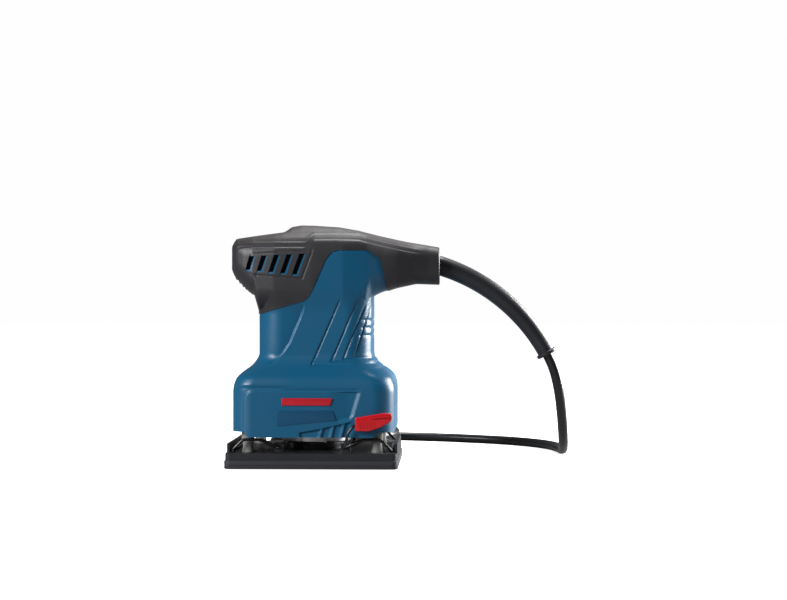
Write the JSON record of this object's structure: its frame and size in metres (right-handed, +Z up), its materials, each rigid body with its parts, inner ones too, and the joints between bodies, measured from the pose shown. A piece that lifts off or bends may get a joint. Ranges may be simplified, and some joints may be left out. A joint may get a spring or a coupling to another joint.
{
  "type": "palm-grip orbital sander",
  "caption": "Palm-grip orbital sander with a square orbiting platen, wire paper clamps with red levers, vented black head grip, blue housing and a coiled mains lead.",
  "frame": {"origin": "on the motor axis, in the plane of the sole that the sander stands on", "axes": "+Z up along the motor axis, +X towards the handle and the cord, -Y towards the tool's left side"},
  "size_m": [0.2272, 0.2159, 0.1585],
  "materials": {
    "blue_shell": "moulded satin blue",
    "black_grip": "soft black overmould",
    "black_cap": "black moulded",
    "screw_steel": "zinc plated",
    "cast_plate": "die cast",
    "bearing_steel": "ground steel",
    "foot_rubber": "grey rubber",
    "badge": "blank plate",
    "lamination": "stacked laminations",
    "winding": "enamelled copper wire",
    "brass": "pressed brass",
    "carbon": "carbon",
    "inner_plastic": "moulded black",
    "capacitor": "dipped film",
    "fan_plastic": "moulded",
    "shaft_steel": "ground steel",
    "weight_steel": "turned steel",
    "platen_black": "black coated cast plate",
    "sole_rubber": "dark rubber foam",
    "wire_steel": "blackened spring wire",
    "spring_steel": "bright spring wire",
    "lever_red": "moulded red",
    "rocker_black": "moulded black",
    "cord_rubber": "black rubber sheath",
    "plug_black": "moulded black",
    "tie_fabric": "woven hook and loop strap",
    "pin_metal": "plated brass"
  },
  "bodies": {
    "housing": {"housing_left": "blue_shell", "housing_right": "blue_shell", "grip_left": "black_grip", "grip_right": "black_grip", "grip_top": "black_cap", "housing_screws": "screw_steel", "bearing_plate": "cast_plate", "lower_bearing": "bearing_steel", "upper_bearing": "bearing_steel", "foot_front_left": "foot_rubber", "foot_front_right": "foot_rubber", "foot_rear_left": "foot_rubber", "foot_rear_right": "foot_rubber", "foot_screws": "screw_steel", "badge_left": "badge", "badge_right": "badge", "stator_core": "lamination", "field_coil_front": "winding", "field_coil_rear": "winding", "brush_holder_left": "brass", "brush_holder_right": "brass", "carbon_brush_left": "carbon", "carbon_brush_right": "carbon", "capacitor": "capacitor", "switch_body": "inner_plastic", "strain_relief": "cord_rubber", "cord_clamp": "inner_plastic", "clamp_screws": "screw_steel", "cord": "cord_rubber", "cord_tail": "cord_rubber", "cord_coil": "cord_rubber", "cord_tie": "tie_fabric", "plug_body": "plug_black", "plug_pins": "pin_metal"},
    "rotor": {"rotor_shaft": "shaft_steel", "armature_core": "lamination", "armature_windings": "winding", "commutator": "brass", "fan": "fan_plastic", "counterweight": "weight_steel"},
    "platen": {"platen_plate": "platen_black", "sole_pad": "sole_rubber", "eccentric_bearing": "bearing_steel", "bearing_circlip": "bearing_steel", "rear_clamp_spring": "spring_steel", "front_clamp_spring": "spring_steel"},
    "rear_clamp": {"rear_lever_rod": "wire_steel", "rear_bail": "wire_steel", "rear_lever": "lever_red"},
    "front_clamp": {"front_lever_rod": "wire_steel", "front_bail": "wire_steel", "front_lever": "lever_red"},
    "rocker": {"switch_rocker": "rocker_black"}
  },
  "joints": [
    {"name": "rotor_spin", "type": "hinge", "parent": "housing", "child": "rotor", "pos_m": [0, 0, 0.02], "axis": [0, 0, 1], "continuous": true},
    {"name": "platen_orbit", "type": "hinge", "parent": "rotor", "child": "platen", "pos_m": [0.0008, 0, 0.01], "axis": [0, 0, 1], "continuous": true},
    {"name": "rear_clamp_tilt", "type": "hinge", "parent": "platen", "child": "rear_clamp", "pos_m": [0.0216, 0, 0.013], "axis": [0, -1, 0], "range_deg": [0, 10]},
    {"name": "front_clamp_tilt", "type": "hinge", "parent": "platen", "child": "front_clamp", "pos_m": [-0.0216, 0, 0.013], "axis": [0, 1, 0], "range_deg": [0, 10]},
    {"name": "rocker_tilt", "type": "hinge", "parent": "housing", "child": "rocker", "pos_m": [-0.03695, 0, 0.1081], "axis": [0, -1, 0], "range_deg": [0, 12]}
  ],
  "couplings": [
    {"joint": "platen_orbit", "follows": "rotor_spin", "ratio": -1}
  ]
}
